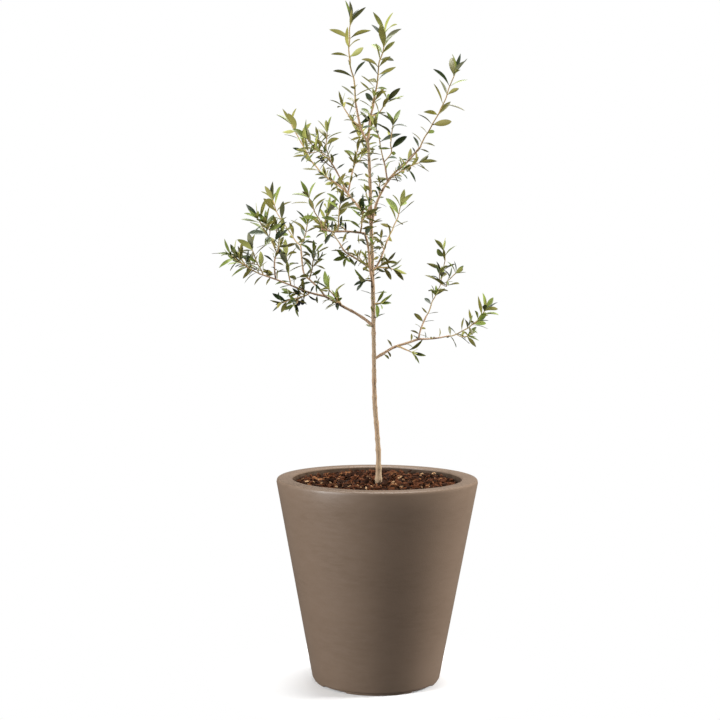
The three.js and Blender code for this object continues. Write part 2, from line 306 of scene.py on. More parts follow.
def group_of(name, inputs, outputs):
    """A new shader node group with those sockets, and its input and output nodes."""
    group = bpy.data.node_groups.new(name, "ShaderNodeTree")
    for label, kind, value in inputs:
        socket = group.interface.new_socket(label, in_out="INPUT", socket_type=kind)
        socket.default_value = value
    for label, kind in outputs:
        group.interface.new_socket(label, in_out="OUTPUT", socket_type=kind)
    return group, group.nodes.new("NodeGroupInput"), group.nodes.new("NodeGroupOutput")


def make_mottle_group():
    """Soft patches on Object coordinates, stretched by Stretch, as a mask."""
    group, given, result = group_of(
        "mottle",
        [
            ("Scale", "NodeSocketFloat", 20.0),
            ("Stretch", "NodeSocketVector", (1.0, 1.0, 1.0)),
            ("Contrast", "NodeSocketFloat", 1.0),
        ],
        [("Mask", "NodeSocketFloat")],
    )
    nodes, links = group.nodes, group.links
    place = nodes.new("ShaderNodeTexCoord")
    stretch = nodes.new("ShaderNodeVectorMath")
    stretch.operation = "MULTIPLY"
    links.new(place.outputs["Object"], stretch.inputs[0])
    links.new(given.outputs["Stretch"], stretch.inputs[1])
    patches = nodes.new("ShaderNodeTexNoise")
    patches.inputs["Detail"].default_value = 5.0
    patches.inputs["Roughness"].default_value = 0.6
    links.new(stretch.outputs[0], patches.inputs["Vector"])
    links.new(given.outputs["Scale"], patches.inputs["Scale"])
    centred = nodes.new("ShaderNodeMath")
    centred.operation = "SUBTRACT"
    centred.inputs[1].default_value = 0.5
    links.new(patches.outputs["Fac"], centred.inputs[0])
    spread = nodes.new("ShaderNodeMath")
    spread.operation = "MULTIPLY_ADD"
    spread.inputs[2].default_value = 0.5
    spread.use_clamp = True
    links.new(centred.outputs[0], spread.inputs[0])
    links.new(given.outputs["Contrast"], spread.inputs[1])
    links.new(spread.outputs[0], result.inputs["Mask"])
    return group


MOTTLE = make_mottle_group()


class Finish:
    """A material whose Principled shader is fed by mottle masks."""

    def __init__(self, name, roughness, gloss=0.5):
        self.material = bpy.data.materials.new(name)
        self.material.use_nodes = True
        self.nodes = self.material.node_tree.nodes
        self.links = self.material.node_tree.links
        self.shader = self.nodes["Principled BSDF"]
        self.shader.inputs["Roughness"].default_value = roughness
        self.shader.inputs["Specular IOR Level"].default_value = gloss

    def mottle(self, scale, stretch=(1.0, 1.0, 1.0), contrast=2.0):
        node = self.nodes.new("ShaderNodeGroup")
        node.node_tree = MOTTLE
        node.inputs["Scale"].default_value = scale
        node.inputs["Stretch"].default_value = stretch
        node.inputs["Contrast"].default_value = contrast
        return node.outputs["Mask"]

    def mix(self, mask, low, high):
        """A colour that goes from low to high with the mask. low and high are colours or sockets."""
        node = self.nodes.new("ShaderNodeMix")
        node.data_type = "RGBA"
        self.links.new(mask, node.inputs["Factor"])
        for label, value in (("A", low), ("B", high)):
            socket = [s for s in node.inputs if s.name == label and s.type == "RGBA"][0]
            if isinstance(value, bpy.types.NodeSocket):
                self.links.new(value, socket)
            else:
                socket.default_value = (*value, 1.0)
        return [s for s in node.outputs if s.type == "RGBA"][0]

    def colour(self, socket):
        self.links.new(socket, self.shader.inputs["Base Color"])

    def roughness_from(self, mask, low, high):
        node = self.nodes.new("ShaderNodeMapRange")
        node.inputs["To Min"].default_value = low
        node.inputs["To Max"].default_value = high
        self.links.new(mask, node.inputs["Value"])
        self.links.new(node.outputs[0], self.shader.inputs["Roughness"])

    def bump(self, height, strength, distance):
        node = self.nodes.new("ShaderNodeBump")
        node.inputs["Strength"].default_value = strength
        node.inputs["Distance"].default_value = distance
        self.links.new(height, node.inputs["Height"])
        self.links.new(node.outputs[0], self.shader.inputs["Normal"])


# ---- finishes ----


def planter_resin():
    """Matt resin with faint brushed bands round it and broad clouds."""
    finish = Finish("planter_resin", 0.46)
    brushed = finish.mottle(34.0, (1.0, 1.0, 4.5), 2.4)
    clouds = finish.mottle(7.0, (1.0, 1.0, 1.6), 1.8)
    base = finish.mix(clouds, (0.152, 0.104, 0.070), (0.196, 0.138, 0.097))
    finish.colour(finish.mix(brushed, base, (0.188, 0.132, 0.094)))
    finish.roughness_from(brushed, 0.40, 0.52)
    finish.bump(finish.mottle(240.0, (1.0, 1.0, 2.5), 1.5), 0.25, 0.0006)
    return finish.material


def planter_lining():
    """The wall inside the rim, painted dark in patches: painted shade for the shadow that falls inside
    the planter.
    """
    finish = Finish("planter_lining", 0.8, gloss=0.2)
    lining_patches = finish.mottle(60.0, (1.0, 1.0, 0.5), 2.6)
    # Painted shade: the inner wall's colour is kept dark for the shade inside the rim.
    finish.colour(finish.mix(lining_patches, (0.050, 0.030, 0.018), (0.090, 0.060, 0.040)))
    finish.bump(lining_patches, 0.3, 0.0008)
    return finish.material


def soil():
    finish = Finish("soil", 0.95)
    grains = finish.mottle(220.0, contrast=3.0)
    finish.colour(finish.mix(grains, (0.010, 0.004, 0.002), (0.045, 0.020, 0.010)))
    finish.bump(grains, 0.8, 0.003)
    return finish.material


def chip_bark(name, low, high):
    """A kind of mulch chip, with fibres from low to high."""
    finish = Finish(name, 0.9, gloss=0.2)
    fibres = finish.mottle(130.0, (1.0, 2.6, 1.4), 3.2)
    finish.colour(finish.mix(fibres, low, high))
    finish.bump(finish.mottle(420.0, (1.0, 2.0, 1.0), 2.5), 0.6, 0.0015)
    return finish.material


def bark(name, low, high, lichen, grain_depth):
    """Bark streaked along the limb from low to high, with patches of lichen."""
    finish = Finish(name, 0.82)
    streaks = finish.mottle(210.0, (1.0, 1.0, 0.22), 3.0)
    patches = finish.mottle(34.0, (1.0, 1.0, 0.6), 3.4)
    base = finish.mix(streaks, low, high)
    finish.colour(finish.mix(patches, base, lichen))
    finish.bump(finish.mottle(520.0, (1.0, 1.0, 0.35), 2.6), 0.55, grain_depth)
    return finish.material


def leaf_side(name, low, high, roughness, gloss):
    """One side of a kind of leaf, in soft patches from low to high."""
    finish = Finish(name, roughness, gloss)
    patches = finish.mottle(34.0, contrast=2.2)
    finish.colour(finish.mix(patches, low, high))
    return finish.material


def olive_skin():
    finish = Finish("olive_skin", 0.32)
    bloom = finish.mottle(120.0, contrast=3.0)
    finish.colour(finish.mix(bloom, (0.012, 0.010, 0.016), (0.050, 0.045, 0.060)))
    return finish.material


# ---- planter ----


def arc(centre, radius, start, end, count):
    """Points of an arc in the planter's outline, its angles in degrees."""
    steps = [math.radians(start + (end - start) * i / count) for i in range(count + 1)]
    return [(centre[0] + radius * math.cos(a), centre[1] + radius * math.sin(a)) for a in steps]


def straight(start, end, count):
    """Points of a straight part of the outline, without its start."""
    return [tuple(Vector(start).lerp(Vector(end), i / count)) for i in range(1, count + 1)]


def build_planter():
    """The planter, spun from its outline, with the CAD solid's foot, heel, rim and opening."""
    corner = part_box("pot")[1]
    top, rim = corner.z, corner.x
    bm = welded("pot")
    flat = [v.co for v in bm.verts if v.co.z < 1e-5]
    foot = max(p.xy.length for p in flat)
    heights = [v.co.z for v in bm.verts if v.co.xy.length > foot + 0.0005]
    bm.free()
    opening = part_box("mulch")[1].x + MULCH_GAP
    heel = min(heights)
    outline = [
        (0.0, 0.0), (foot - FOOT_WIDTH, 0.0), (foot - 0.001, 0.0), (foot, 0.001), (foot, heel),
        *arc((foot, heel + HEEL_RADIUS), HEEL_RADIUS, -70, -10, 4),
    ]
    outline += straight(outline[-1], (rim, top - 0.007), 12)
    outline += arc((rim - RIM_EDGE - 0.0006, top - RIM_EDGE), RIM_EDGE, 10, 82, 5)
    outline += arc((opening + RIM_LIP, top - RIM_LIP), RIM_LIP, 98, 178, 5)
    outline += straight(outline[-1], (foot - INNER_SETBACK, PLANTER_FLOOR), 4)
    outline.append((0.0, PLANTER_FLOOR))
    bm = bmesh.new()
    verts = [bm.verts.new((r, 0.0, z)) for r, z in outline]
    edges = [bm.edges.new(pair) for pair in zip(verts, verts[1:])]
    bmesh.ops.spin(
        bm, geom=verts + edges, cent=(0, 0, 0), axis=(0, 0, 1), dvec=(0, 0, 0),
        angle=math.tau, steps=144, use_merge=True,
    )
    bmesh.ops.remove_doubles(bm, verts=bm.verts, dist=1e-5)
    bmesh.ops.recalc_face_normals(bm, faces=bm.faces)
    cut_notches(bm, foot)
    smooth_faces(bm)
    # Faces of the inner wall, between the floor and the rim's lip, get the lining with its painted
    # shade.
    for face in bm.faces:
        middle = face.calc_center_median()
        inward = face.normal.xy.dot(middle.xy) < 0
        if inward and PLANTER_FLOOR < middle.z < top - RIM_LIP:
            face.material_index = 1
    piece = new_piece("planter", bm, [planter_resin(), planter_lining()], ["pot"])
    split = piece.modifiers.new("sharp_edges", "EDGE_SPLIT")
    split.split_angle = math.radians(50)


def cut_notches(bm, foot):
    """Lifts the foot's edge at the drainage notches that the CAD foot has."""
    cad = welded("pot")
    angles = [math.atan2(v.co.y, v.co.x) for v in cad.verts if 0.0015 < v.co.z < 0.0035]
    cad.free()
    for v in bm.verts:
        if v.co.z > 0.002 or v.co.xy.length < foot - 0.027:
            continue
        here = math.atan2(v.co.y, v.co.x)
        gaps = [abs(math.remainder(here - angle, math.tau)) for angle in angles]
        if min(gaps, default=math.pi) < NOTCH_REACH:
            v.co.z = NOTCH_HEIGHT


# ---- mulch ----


def chip_template(rng):
    """A flat shard of bark, about one unit long."""
    bm = bmesh.new()
    bmesh.ops.create_circle(bm, cap_ends=True, segments=rng.randint(5, 7), radius=0.5)
    width = rng.uniform(0.20, 0.46)
    for v in bm.verts:
        v.co.x *= rng.uniform(0.75, 1.1)
        v.co.y *= width * rng.uniform(0.7, 1.25)
    lifted = bmesh.ops.extrude_face_region(bm, geom=list(bm.faces))["geom"]
    thickness = rng.uniform(0.10, 0.24)
    for v in [g for g in lifted if isinstance(g, bmesh.types.BMVert)]:
        v.co.z += thickness * rng.uniform(0.7, 1.4)
        v.co.xy *= rng.uniform(0.72, 0.98)
    bend = rng.uniform(-0.5, 0.5)
    for v in bm.verts:
        v.co.z += bend * v.co.x * v.co.x
    bmesh.ops.recalc_face_normals(bm, faces=bm.faces)
    return mesh_of("chip_template", bm)


def add_copy(bm, template, matrix):
    """Adds a template mesh to bm in its place."""
    start = len(bm.verts)
    bm.from_mesh(template)
    bm.verts.ensure_lookup_table()
    bmesh.ops.transform(bm, matrix=matrix, verts=bm.verts[start:])


def build_mulch():
    """Loose chips spread evenly over the soil, each kind in its own piece."""
    rng = random.Random(41)
    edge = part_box("mulch")[1].x - 0.004
    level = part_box("trunk")[0].z
    templates = [chip_template(rng) for _ in range(CHIP_KINDS)]
    # How often each kind comes, and its darker and lighter colour.
    kinds = {
        "mulch_dark": (0.48, (0.014, 0.005, 0.002), (0.052, 0.019, 0.008)),
        "mulch_red": (0.34, (0.050, 0.016, 0.006), (0.140, 0.047, 0.018)),
        "mulch_brown": (0.12, (0.130, 0.048, 0.018), (0.290, 0.125, 0.050)),
        "mulch_pale": (0.06, (0.330, 0.180, 0.085), (0.560, 0.360, 0.195)),
    }
    weights = [kind[0] for kind in kinds.values()]
    heaps = {name: bmesh.new() for name in kinds}
    for i in range(CHIP_COUNT):
        away = edge * math.sqrt((i + 0.5) / CHIP_COUNT)
        turn = i * CHIP_TURN + rng.uniform(-0.3, 0.3)
        kind = rng.choices(list(kinds), weights)[0]
        length = rng.uniform(*CHIP_LENGTHS) * (0.7 if kind == "mulch_pale" else 1.0)
        length *= rng.uniform(0.6, 1.0)
        away = min(away, edge - length * 0.42)
        if away < TRUNK_CLEARANCE + length * 0.3:
            away = TRUNK_CLEARANCE + length * 0.45
        heap = HEAP_HEIGHT * noise.noise(Vector((away * 22, turn, 3.0)))
        spot = Vector((away * math.cos(turn), away * math.sin(turn), 0.0))
        spot.z = level - 0.0005 + heap + rng.uniform(-0.003, 0.0065)
        tilt = Matrix.Rotation(rng.gauss(0, 0.55), 4, "X") @ Matrix.Rotation(rng.gauss(0, 0.35), 4, "Y")
        place = Matrix.Translation(spot) @ Matrix.Rotation(rng.uniform(0, math.tau), 4, "Z") @ tilt
        add_copy(heaps[kind], rng.choice(templates), place @ Matrix.Scale(length, 4))
    for name, (_, dark, light) in kinds.items():
        new_piece(name, heaps[name], [chip_bark(name, dark, light)])
    ground = frame["nodes"]["mulch"]
    ground.data.materials.clear()
    ground.data.materials.append(soil())


# ---- trunk and boughs ----


def bark_relief(spot, radius):
    """Fine ridges along a limb and a few swellings."""
    ridges = noise.noise(Vector((spot.x * 420, spot.y * 420, spot.z * 90)))
    swell = noise.noise(Vector((spot.x * 60, spot.y * 60, spot.z * 55)))
    return radius * BARK_DEPTH * (0.5 * ridges + 0.8 * swell)


def knotted(path, rng):
    """Swells a limb's radius a little where it bore leaves."""
    length = 0.0
    next_knot = KNOT_GAP * rng.random()
    out = []
    for i, (spot, radius) in enumerate(path):
        if i:
            length += (spot - path[i - 1][0]).length
        swell = KNOT_SWELL * math.exp(-(((length - next_knot) / KNOT_HALF_LENGTH) ** 2))
        if length > next_knot + 2.5 * KNOT_HALF_LENGTH:
            next_knot += KNOT_GAP * rng.uniform(0.6, 1.3)
        out.append((spot, radius * (1 + swell)))
    return out


def build_limbs():
    """Replaces each limb by a bark mesh, and returns all their centre lines."""
    rng = random.Random(7)
    trunk_bark = bark(
        "trunk_bark", (0.222, 0.136, 0.078), (0.500, 0.328, 0.196), (0.392, 0.290, 0.186), 0.0010
    )
    young_bark = bark(
        "young_bark", (0.360, 0.228, 0.138), (0.530, 0.352, 0.222), (0.430, 0.290, 0.180), 0.0005
    )
    rings = {node: limb_rings(node) for node in LIMB_NODES}
    lines = {}
    for node in sorted(LIMB_NODES, key=lambda n: -rings[n][len(rings[n]) // 2][1]):
        chain = rings[node]
        if node != "trunk":
            thick = chain[1][1]
            joint = nearest_on(lines.values(), chain[0][0], thick * 0.98)
            chain = [(joint[0], thick * 1.15)] + chain[1:]
        line = walked(chain, LIMB_STEP)
        lines[node] = line
        bm = bmesh.new()
        add_tube(bm, knotted(line, rng), LIMB_SIDES, bark_relief)
        bmesh.ops.recalc_face_normals(bm, faces=bm.faces)
        smooth_faces(bm)
        finish, slot = (trunk_bark, "trunk_bark") if node == "trunk" else (young_bark, "young_bark")
        new_piece("bark_" + node, bm, [finish], [node])
    return lines


# ---- leaves ----


def leaf_template(roundness):
    """A leaf one unit long along Y and one wide, on its stalk. Both sides share their edge.

    The midrib's under side is at -1 in Z, and add_leaf gives it the leaf's thickness.
    """
    bm = bmesh.new()
    bmesh.ops.create_grid(bm, x_segments=2, y_segments=8, size=0.5)
    for v in bm.verts:
        step = max(v.co.y + 0.5, 0.0)
        along = mixed(step, 0.5 - 0.5 * math.cos(math.pi * step), 0.55)
        blade = max(along - LEAF_STALK, 0.0) / (1.0 - LEAF_STALK)
        half = 0.5 * math.sin(math.pi * blade ** 1.05) ** (0.92 - 0.30 * roundness)
        side = math.copysign(1.0, v.co.x) if abs(v.co.x) > 0.01 else 0.0
        v.co.x = side * max(half, 0.09 if along < 0.5 else 0.0)
        v.co.y = along
        v.co.z = 0.0
    under = bmesh.ops.duplicate(bm, geom=list(bm.faces))["geom"]
    bottom = [g for g in under if isinstance(g, bmesh.types.BMFace)]
    bmesh.ops.reverse_faces(bm, faces=bottom)
    for face in bottom:
        face.material_index = 1
    for v in [g for g in under if isinstance(g, bmesh.types.BMVert)]:
        if abs(v.co.x) < 0.01 and 0.01 < v.co.y < 0.99:
            v.co.z = -1.0
    bmesh.ops.remove_doubles(bm, verts=bm.verts, dist=1e-4)
    bmesh.ops.dissolve_degenerate(bm, edges=bm.edges, dist=1e-5)
    smooth_faces(bm)
    for edge in bm.edges:
        edge.smooth = len({face.material_index for face in edge.link_faces}) == 1
    return mesh_of("leaf_template", bm)


# The roundness of each leaf outline, how often it comes, and its width as a share of its length.
LEAF_SHAPES = ((0.0, 0.26, 0.19), (0.2, 0.30, 0.25), (0.6, 0.30, 0.29), (1.0, 0.14, 0.36))

# Each kind's upper side, from its darker to its lighter patches, and then its under side.
LEAF_KINDS = {
    "leaves_young": (
        (0.165, 0.228, 0.042), (0.270, 0.322, 0.075), (0.330, 0.345, 0.090), (0.430, 0.430, 0.140),
    ),
    "leaves_fresh": (
        (0.092, 0.128, 0.023), (0.166, 0.192, 0.042), (0.255, 0.245, 0.060), (0.350, 0.325, 0.095),
    ),
    "leaves_olive": (
        (0.095, 0.092, 0.015), (0.165, 0.152, 0.028), (0.225, 0.200, 0.052), (0.310, 0.275, 0.080),
    ),
    "leaves_dark": (
        (0.010, 0.020, 0.004), (0.034, 0.054, 0.011), (0.062, 0.068, 0.026), (0.125, 0.124, 0.050),
    ),
    "leaves_grey": (
        (0.075, 0.100, 0.062), (0.125, 0.148, 0.098), (0.205, 0.215, 0.130), (0.300, 0.300, 0.190),
    ),
}

# How often a stem bears each kind, in the order above.
OLD_WOOD = (0.00, 0.10, 0.42, 0.26, 0.22)
SHOOT_FOOT = (0.02, 0.22, 0.44, 0.14, 0.18)
SHOOT_TOP = (0.18, 0.34, 0.22, 0.14, 0.12)
SHOOT_TIP = (0.50, 0.30, 0.02, 0.18, 0.00)
# The fruiting twig's leaves, mostly of the dark kind: painted shade where that twig hangs in shadow.
SHADED_FRUITING = (0.00, 0.06, 0.16, 0.74, 0.04)


class Foliage:
    """The leaves, twigs and fruit grown so far, each kind in its own mesh."""

    def __init__(self):
        self.leaves = {kind: bmesh.new() for kind in LEAF_KINDS}
        self.twigs = bmesh.new()
        self.olives = bmesh.new()
        self.templates = [leaf_template(roundness) for roundness, _, _ in LEAF_SHAPES]

    def add_leaf(self, rng, root, ahead, facing, length, chances):
        """A leaf from root along ahead, with its upper side towards facing."""
        kind = rng.choices(list(LEAF_KINDS), chances)[0]
        pick = rng.choices(range(len(LEAF_SHAPES)), [s[1] for s in LEAF_SHAPES])[0]
        width = length * LEAF_SHAPES[pick][2] * rng.uniform(0.85, 1.15)
        across = ahead.cross(facing).normalized()
        upper = across.cross(ahead).normalized()
        fold = rng.uniform(0.05, 0.25) * width
        bend = rng.uniform(-0.40, 0.0) * length
        sweep = rng.gauss(0, 0.05) * length
        twist = rng.gauss(0, 0.4)
        bm = self.leaves[kind]
        start = len(bm.verts)
        bm.from_mesh(self.templates[pick])
        bm.verts.ensure_lookup_table()
        for v in bm.verts[start:]:
            x, along, inside = v.co
            turn = twist * along
            out = x * width * math.cos(turn) + sweep * along * along
            lift = x * width * math.sin(turn) + fold * abs(x) * 2 + bend * along * along
            lift += LEAF_THICKNESS * inside
            v.co = root + across * out + ahead * (along * length) + upper * lift

    def add_olive(self, rng, root, size):
        """An olive that hangs on a short stalk from root."""
        stalk = Vector((rng.uniform(-0.5, 0.5), rng.uniform(-0.5, 0.5), -1.0)).normalized()
        end = root + stalk * rng.uniform(0.003, 0.007)
        add_tube(self.twigs, [(root, 0.0006), (root.lerp(end, 0.5), 0.0005), (end, 0.0006)], 5)
        turn = stalk.to_track_quat("Z", "Y").to_matrix().to_4x4()
        shape = Matrix.Diagonal((OLIVE_WIDTH / 2, OLIVE_WIDTH / 2, OLIVE_LENGTH / 2, 1.0))
        centre = Matrix.Translation(end + stalk * OLIVE_LENGTH * 0.45 * size)
        bmesh.ops.create_icosphere(
            self.olives, subdivisions=3, radius=1.0, matrix=centre @ turn @ shape @ Matrix.Scale(size, 4)
        )


def mixed(foot, tip, share):
    return foot + (tip - foot) * share


def grow_pairs(foliage, rng, path, lengths, gap, angles, chances, start, full=1.0):
    """Opposite pairs of leaves along a stem, each pair a quarter turn from the last.

    lengths, angles from the stem in degrees and chances go from the stem's foot to its tip.
    gap is the way from pair to pair, start the way to the first, and full the share of the
    leaves that are there.
    """
    frames = path_frames([spot for spot, _ in path])
    travels = [0.0]
    for (a, _), (b, _) in zip(path, path[1:]):
        travels.append(travels[-1] + (b - a).length)
    total = travels[-1]
    travelled = start
    turn = rng.uniform(0, math.tau)
    while travelled < total:
        i = min(range(len(travels)), key=lambda k: abs(travels[k] - travelled))
        share = travelled / total
        spot, radius = path[i]
        ahead = heading(frames[i])
        turn += math.pi / 2 + rng.gauss(0, 0.22)
        for side in (0, math.pi):
            if rng.random() > full:
                continue
            angle = turn + side + rng.gauss(0, 0.15)
            out = sideways(frames[i], angle)
            lean = math.radians(mixed(*angles, share) + rng.gauss(0, 9))
            way = ahead * math.cos(lean) + out * math.sin(lean) + UP * 0.15
            way.normalize()
            facing = (ahead - way * ahead.dot(way)).normalized() + UP * 0.7
            facing = (Matrix.Rotation(rng.gauss(0, 0.75), 3, way) @ facing).normalized()
            length = mixed(*lengths, share) * rng.uniform(0.78, 1.16)
            kinds = [mixed(*pair, share) for pair in zip(*chances)]
            foliage.add_leaf(rng, spot + out * radius * 0.6, way, facing, length, kinds)
        travelled += gap * rng.uniform(0.8, 1.2)


def grow_tip(foliage, rng, spot, ahead, length, chances=SHOOT_TIP):
    """The upright young leaves at a shoot's tip: an open pair, a closer one and a bud."""
    side = ahead.cross(Vector((0.3, 1.0, 0.2))).normalized()
    turn = rng.uniform(0, math.tau)
    # Each ring's turn, its leaves, how they lean in degrees, and their size.
    rings = ((0.0, 2, 34, 0.95), (math.pi / 2, 2, 17, 0.90), (0.3, rng.choice((0, 1)), 6, 0.6))
    for offset, count, lean, size in rings:
        for k in range(count):
            out = Matrix.Rotation(turn + offset + k * math.pi + rng.gauss(0, 0.2), 3, ahead) @ side
            lean_here = math.radians(lean + rng.gauss(0, 6))
            way = (ahead * math.cos(lean_here) + out * math.sin(lean_here)).normalized()
            facing = -out + UP * 0.2
            here = length * size * rng.uniform(0.82, 1.08)
            foliage.add_leaf(rng, spot, way, facing, here, chances)


def shoot_path(lines, slices):
    """A shoot's (spot, mass radius) line from the nearest limb to the tip of its mass."""
    ends = [slices[0], slices[-1]]
    joints = [nearest_on(lines, end[0]) for end in ends]
    gaps = [(joint[0] - end[0]).length for joint, end in zip(joints, ends)]
    if gaps[1] < gaps[0]:
        slices = slices[::-1]
        joints = joints[::-1]
    joint = joints[0]
    first = next((k for k, s in enumerate(slices) if (s[0] - joint[0]).length > 0.012), 0)
    return joint, slices[first:]


def gap_to_limbs(lines, slices):
    """How far the nearer end of a mass is from the lines grown so far."""
    return min((nearest_on(lines, end[0])[0] - end[0]).length for end in (slices[0], slices[-1]))


def grow_shoot(foliage, lines, slices, rng, habit, fruiting):
    """One leafy shoot along a mass, with side shoots in a short dense one. Returns its line."""
    joint, slices = shoot_path(lines, slices)
    widest = max(s[1] for s in slices)
    fullness, leaf_scale = habit
    leaf = (SHOOT_LEAF + widest) * leaf_scale
    gap = max(1.05 * widest - 0.006, SHOOT_LEAF_GAP) * leaf_scale / max(fullness, 1.0)
    stem_radius = min(joint[1] * 0.85, SHOOT_FOOT_RADIUS)
    spots = [(joint[0], 0.0)] + [(s[0], 0.0) for s in slices]
    walk = walked(spots, TWIG_STEP)
    total = line_length(walk)
    keep = max(4, round(len(walk) * (1 - 0.75 * leaf / total)))
    path = []
    for i, (spot, _) in enumerate(walk[:keep]):
        share = i / (keep - 1)
        jog = wobble(spot, 45, 0.0018 * min(1.0, share * 6))
        path.append((spot + jog, mixed(stem_radius, SHOOT_TIP_RADIUS, share)))
    add_tube(foliage.twigs, path, TWIG_SIDES)
    # Here and at the tip below, a fruiting shoot bears mostly dark leaves: painted shade.
    chances = (SHADED_FRUITING, SHADED_FRUITING) if fruiting else (SHOOT_FOOT, SHOOT_TOP)
    grow_pairs(
        foliage, rng, path, (0.78 * leaf, leaf), gap, (76, 46), chances, start=0.008,
        full=min(fullness, 1.0),
    )
    frames = path_frames([p[0] for p in path])
    tip = SHADED_FRUITING if fruiting else SHOOT_TIP
    grow_tip(foliage, rng, path[-1][0], heading(frames[-1]), leaf, tip)
    if 0.07 < total < 0.14 and widest < 0.027:
        for share in (0.25, 0.5):
            if rng.random() < 0.6 * fullness ** 2:
                grow_side_shoot(foliage, rng, path, frames, share, 0.85 * leaf)
    return path


def grow_side_shoot(foliage, rng, path, frames, share, leaf, rise=0.0):
    """A short leafy twig out of a stem, which leans out first and then along the stem."""
    i = int(share * (len(path) - 1))
    spot, radius = path[i]
    turn = rng.uniform(0, math.tau)
    out = (sideways(frames[i], turn) + UP * rise).normalized()
    ahead = heading(frames[i])
    length = leaf * rng.uniform(0.7, 1.1)
    radius = min(radius * 0.7, SIDE_SHOOT_RADIUS)
    twig = []
    for k in range(8):
        t = k / 7
        lean = math.radians(58 - 26 * t)
        way = ahead * math.cos(lean) + out * math.sin(lean)
        twig.append((spot + way * length * t, mixed(radius, SHOOT_TIP_RADIUS, t)))
    add_tube(foliage.twigs, twig, TWIG_SIDES)
    grow_pairs(
        foliage, rng, twig, (0.7 * leaf, 0.85 * leaf), 0.4 * leaf, (70, 50), (SHOOT_FOOT, SHOOT_TOP),
        start=0.3 * leaf,
    )
    grow_tip(foliage, rng, twig[-1][0], (twig[-1][0] - twig[-2][0]).normalized(), 0.85 * leaf)


# How much of a limb is bare from its root on, with a twentieth for the others.
BARE_SHARES = {"bough_low_left": 0.72, "bough_low_right": 0.12, "branch_low_right_reach": 0.1}
# The share of their leaves that some limbs keep, with four fifths for the others.
SPARSE = {"bough_low_right": 0.35, "branch_low_right_reach": 0.4, "trunk_foot": 0.6}
LIMB_LEAF_SCALES = {
    "bough_low_right": 0.8, "branch_low_right_reach": 0.8, "leader_left": 1.4, "leader_right": 1.4,
}
# The limbs without short twigs.
NO_SPRIGS = (*SPARSE, "branch_low_right_rise", "branch_low_left_reach", "branch_low_left_rise")


def dress_limbs(foliage, limb_lines, rng):
    """Pairs of smaller leaves, and short leafy twigs, on the upper trunk and along the boughs."""
    stems = {node: line for node, line in limb_lines.items() if node != "trunk"}
    stems["trunk"] = [p for p in limb_lines["trunk"] if p[0].z > CROWN_BODY]
    stems["trunk_foot"] = [p for p in limb_lines["trunk"] if CROWN_FOOT < p[0].z <= CROWN_BODY]
    for node in sorted(stems):
        line = stems[node][int(BARE_SHARES.get(node, 0.05) * len(stems[node])):]
        leaf = LIMB_LEAF * LIMB_LEAF_SCALES.get(node, 1.0)
        grow_pairs(
            foliage, rng, line, (0.85 * leaf, 1.05 * leaf), LIMB_LEAF_GAP, (82, 66),
            (OLD_WOOD, SHOOT_FOOT), start=0.010, full=SPARSE.get(node, 0.8),
        )
        if node in NO_SPRIGS:
            continue
        frames = path_frames([p[0] for p in line])
        length = line_length(line)
        for k in range(round(length / SPRIG_GAP)):
            share = (k + rng.uniform(0.2, 0.9)) * SPRIG_GAP / length
            if share < 1.0 and rng.random() < 0.75:
                grow_side_shoot(foliage, rng, line, frames, share, SPRIG_LEAF, rise=0.5)


def hang_olives(foliage, path, rng, shares):
    """An olive at each of those shares of a shoot's length."""
    for share in shares:
        spot, _ = path[int(share * (len(path) - 1))]
        foliage.add_olive(rng, spot, rng.uniform(0.85, 1.05))


# How full of leaves some masses are, and the length of their leaves, with 1 for the others.
HABITS = {
    "leaves_top_left": (1.25, 1.0), "leaves_top_right": (1.5, 1.0),
    "leaves_top_left_side": (0.35, 1.0), "leaves_top_right_side": (0.7, 1.0),
    "leaves_upper_right_inner": (0.7, 1.0), "leaves_upper_right_fan": (0.7, 1.0),
    "leaves_low_left_tip": (1.25, 1.0), "leaves_low_left_outer": (1.35, 1.12),
    "leaves_low_left_lift": (0.8, 1.0), "leaves_low_left_middle": (1.25, 1.1),
    "leaves_low_right_drooping": (0.35, 1.0), "leaves_low_right_side": (0.5, 0.9),
    "leaves_low_right_top": (0.85, 0.9), "leaves_low_right_rise": (0.75, 0.65),
    "leaves_low_right_reach": (1.45, 0.9),
}


def build_crown(limb_lines):
    """Grows a shoot in every mass, the nearest to the wood first, and dresses the limbs."""
    rng = random.Random(2026)
    foliage = Foliage()
    lines = list(limb_lines.values())
    waiting = {node: mass_slices(node) for node in MASS_NODES}
    while waiting:
        node = min(waiting, key=lambda n: gap_to_limbs(lines, waiting[n]))
        slices = waiting.pop(node)
        fruiting = node.endswith("fruiting")
        habit = HABITS.get(node, (1.0, 1.0))
        path = grow_shoot(foliage, lines, slices, random.Random(node), habit, fruiting)
        lines.append(path)
        if fruiting:
            hang_olives(foliage, path, rng, (0.36, 0.52, 0.58))
        if node.endswith(("upper_left_inner", "low_left_lift", "low_left_turn")):
            hang_olives(foliage, path, rng, (0.3,))
    dress_limbs(foliage, limb_lines, rng)
    for kind, (up_low, up_high, down_low, down_high) in LEAF_KINDS.items():
        sides = [
            leaf_side(kind + "_upper", up_low, up_high, 0.42, 0.45),
            leaf_side(kind + "_under", down_low, down_high, 0.6, 0.3),
        ]
        replaced = MASS_NODES if kind == "leaves_olive" else ()
        new_piece(kind, foliage.leaves[kind], sides, replaced)
    smooth_faces(foliage.twigs)
    smooth_faces(foliage.olives)
    bmesh.ops.recalc_face_normals(foliage.twigs, faces=foliage.twigs.faces)
    shoots = bark(
        "green_shoots", (0.320, 0.200, 0.090), (0.490, 0.322, 0.152), (0.390, 0.292, 0.120), 0.0003
    )
    new_piece("twigs", foliage.twigs, [shoots])
    new_piece("olives", foliage.olives, [olive_skin()])


# ---- floor, light and camera ----

